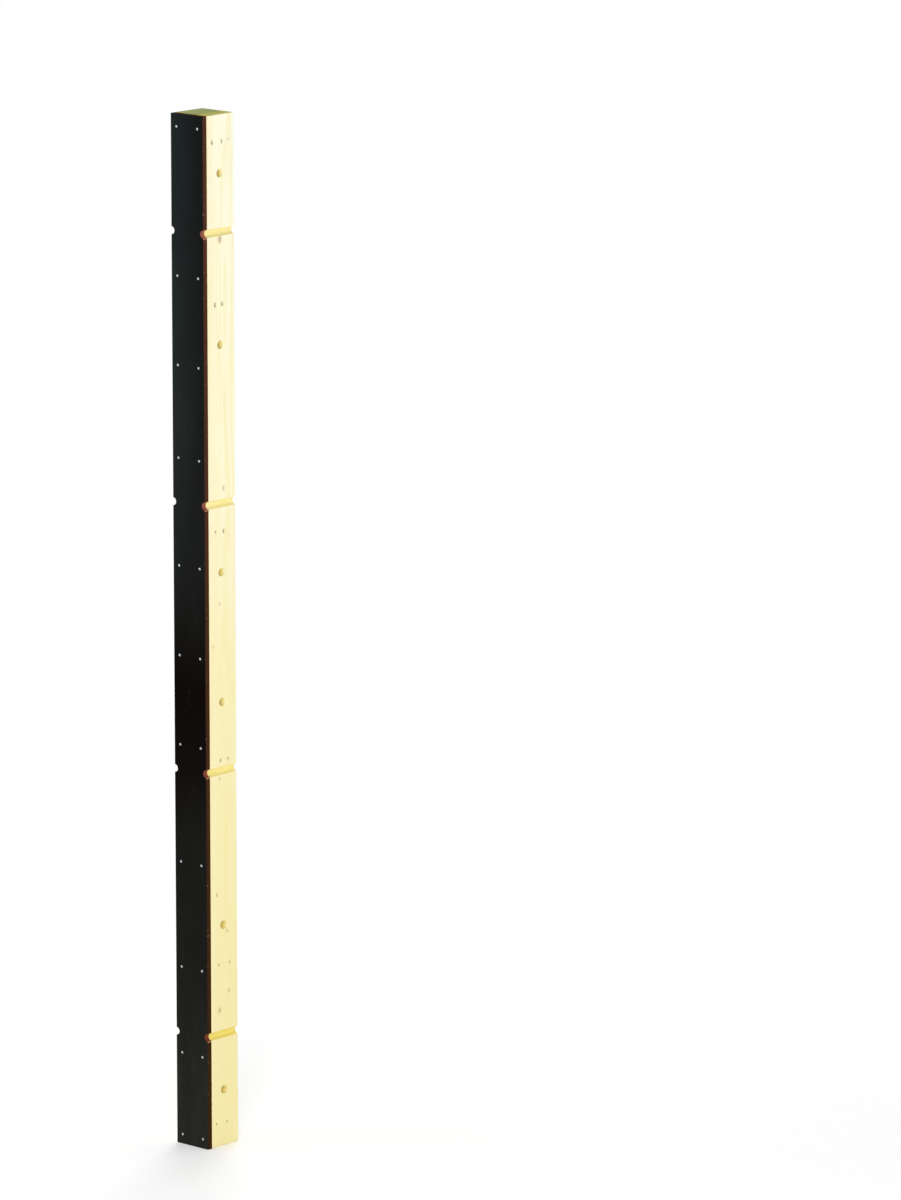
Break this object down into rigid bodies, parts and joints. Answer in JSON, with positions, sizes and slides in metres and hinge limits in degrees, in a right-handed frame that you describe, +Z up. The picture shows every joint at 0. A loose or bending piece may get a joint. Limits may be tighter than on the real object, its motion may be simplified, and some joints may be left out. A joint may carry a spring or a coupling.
{
  "type": "concrete formwork panel",
  "caption": "Tall narrow infill panel for wall formwork: film-faced plywood nailed to a timber frame, with half-round tie grooves and cross holes for connecting bolts.",
  "frame": {"origin": "centre of the rectangle at the panel's lower end", "axes": "+Z up along the panel's height, -Y out of the forming face, and +X to the right for someone who stands in front of the forming face and looks at it"},
  "size_m": [0.11, 0.115, 2.7],
  "materials": {
    "film_faced_plywood": "satin phenolic film, sealed brown edges",
    "spruce": "planed, untreated",
    "spruce_block": "sawn, untreated",
    "bright_nail_steel": "bright zinc, worn by the float",
    "dull_nail_steel": "dull zinc"
  },
  "bodies": {
    "root": {"facing_panel": "film_faced_plywood", "left_stile": "spruce", "right_stile": "spruce", "bottom_block": "spruce_block", "lower_spacer": "spruce_block", "lower_middle_spacer": "spruce_block", "upper_middle_spacer": "spruce_block", "upper_spacer": "spruce_block", "top_block": "spruce_block", "face_nails": "bright_nail_steel", "left_edge_nails": "dull_nail_steel", "right_edge_nails": "dull_nail_steel"}
  },
  "joints": []
}
